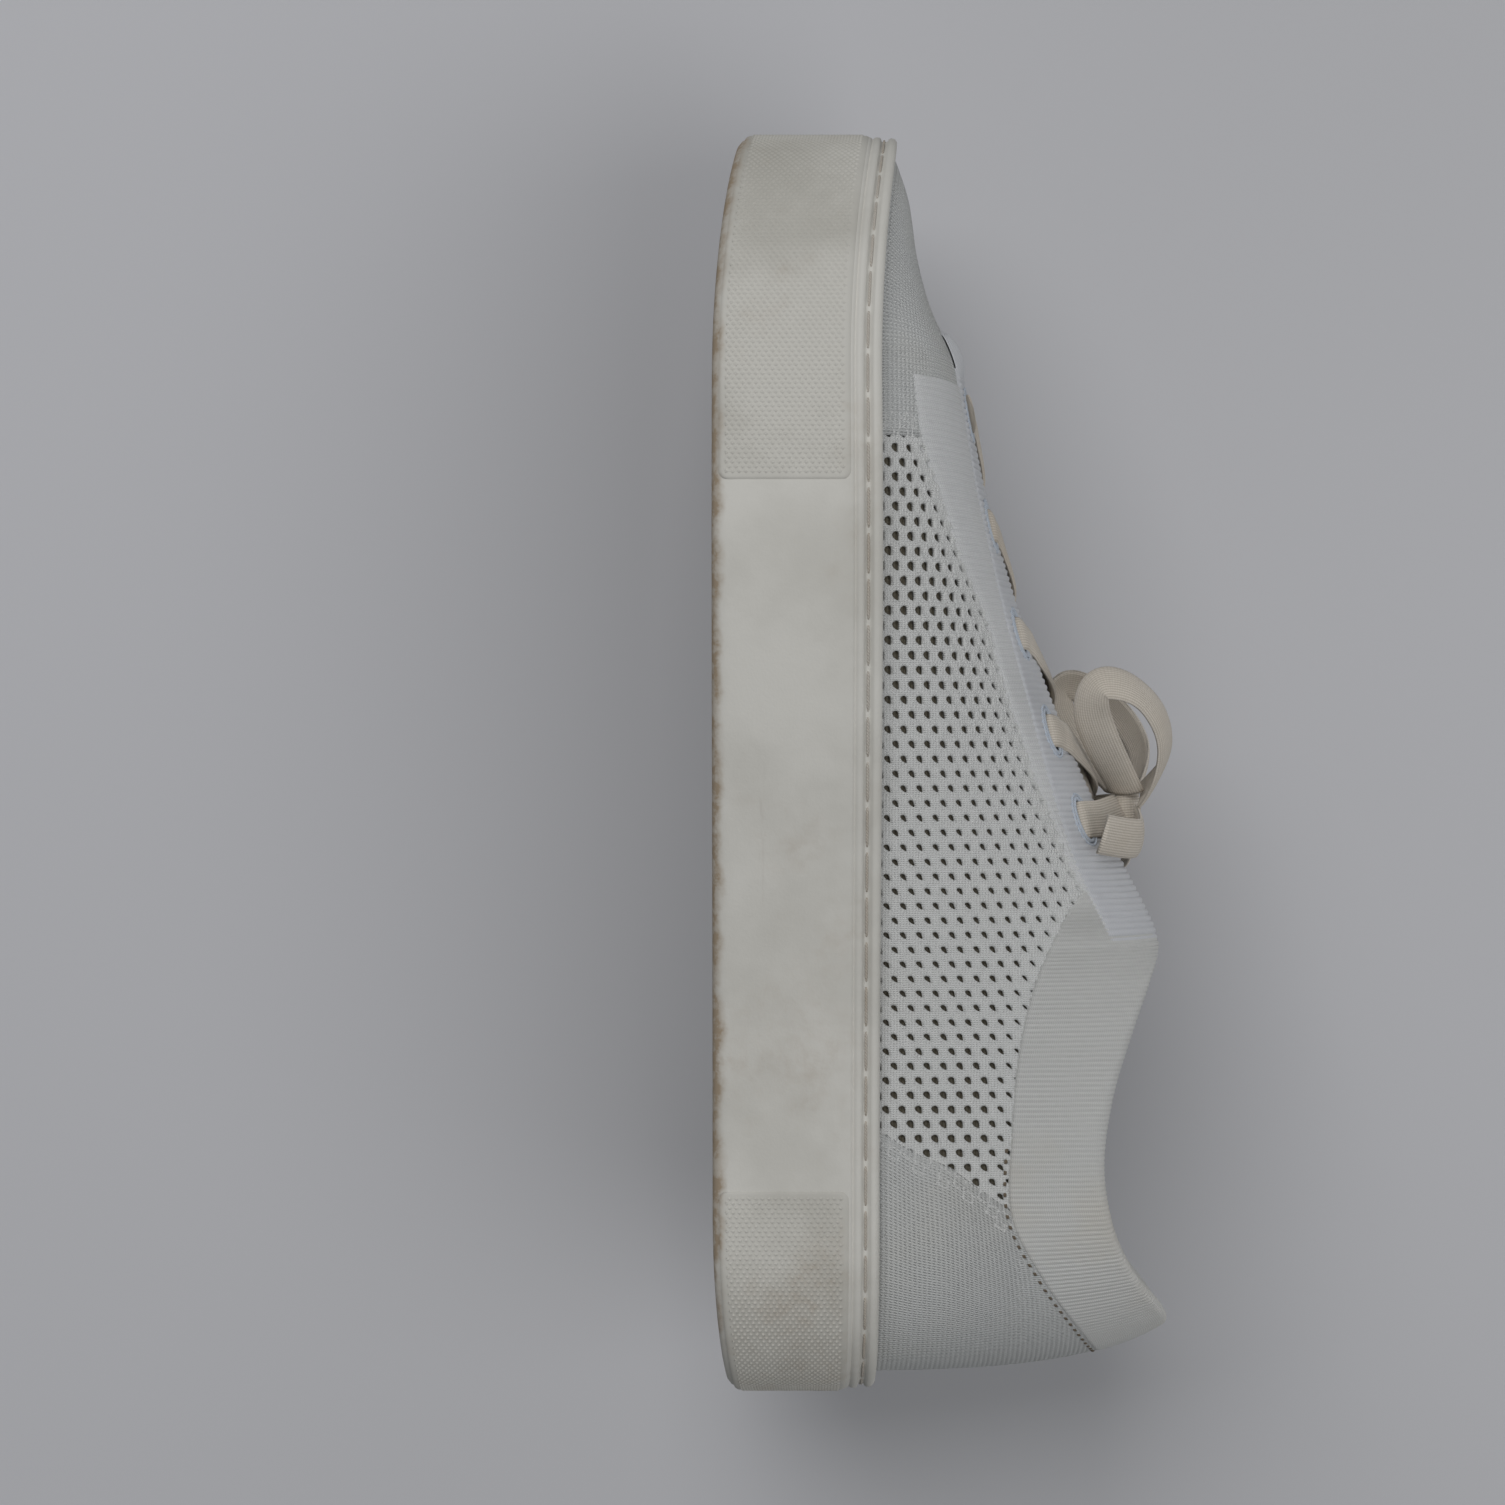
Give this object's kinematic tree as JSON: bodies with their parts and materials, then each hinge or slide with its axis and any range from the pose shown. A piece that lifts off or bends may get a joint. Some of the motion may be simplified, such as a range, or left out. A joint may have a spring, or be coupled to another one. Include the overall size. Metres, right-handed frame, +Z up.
{
  "type": "court shoe",
  "caption": "Low laced court shoe with a knitted mesh upper and a stitched rubber cup sole, for the left foot.",
  "frame": {"origin": "centre of the sole's outline, on the surface the sole stands on", "axes": "-X towards the toe, -Y towards the outer side of the foot, +Z up"},
  "size_m": [0.2851, 0.1021, 0.1033],
  "materials": {
    "cup_rubber": "matte moulded rubber, cream, scuffed",
    "tread_rubber": "matte dark rubber",
    "sole_thread": "twisted thread",
    "foam": "closed-cell foam",
    "board": "non-woven board",
    "footbed_cloth": "woven cloth",
    "lining_cloth": "brushed lining",
    "tape": "woven tape",
    "rib_knit": "fine rib knit, cool white",
    "mesh_knit": "open mesh knit, white",
    "collar_knit": "fine rib knit, off-white",
    "eyelet_thread": "satin stitched thread",
    "lace_cotton": "flat cotton weave",
    "plain_knit": "fine plain knit, white"
  },
  "bodies": {
    "shoe": {"collar_band": "collar_knit", "collar_lining": "lining_cloth", "collar_padding": "foam", "cupsole": "cup_rubber", "cupsole_thread": "sole_thread", "eyelet_rings_lateral": "eyelet_thread", "eyelet_rings_medial": "eyelet_thread", "eyestay_lateral": "rib_knit", "eyestay_medial": "rib_knit", "eyestay_tape_lateral": "tape", "eyestay_tape_medial": "tape", "heel_counter": "board", "heel_panel": "plain_knit", "lace_crossings": "lace_cotton", "lace_end_inner": "lace_cotton", "lace_end_outer": "lace_cotton", "lace_knot": "lace_cotton", "lace_loop_inner": "lace_cotton", "lace_loop_outer": "lace_cotton", "midsole_foam": "foam", "outsole_tread": "tread_rubber", "quarter_lateral": "mesh_knit", "quarter_medial": "mesh_knit", "strobel_board": "board", "toe_puff": "board", "vamp_knit": "plain_knit"},
    "footbed": {"footbed_foam": "foam", "footbed_cover": "footbed_cloth"},
    "tongue": {"tongue_knit": "rib_knit", "tongue_foam": "foam", "tongue_lining": "lining_cloth"}
  },
  "joints": [
    {"name": "footbed_lift", "type": "hinge", "parent": "shoe", "child": "footbed", "pos_m": [-0.1321, 0, 0.0166], "axis": [0, -1, 0], "range_deg": [0, 4]},
    {"name": "tongue_press", "type": "hinge", "parent": "shoe", "child": "tongue", "pos_m": [-0.0815, 0, 0.047], "axis": [0, 1, 0], "range_deg": [0, 8], "stiffness_Nm_per_rad": 0.3, "springref_deg": -8.59}
  ]
}
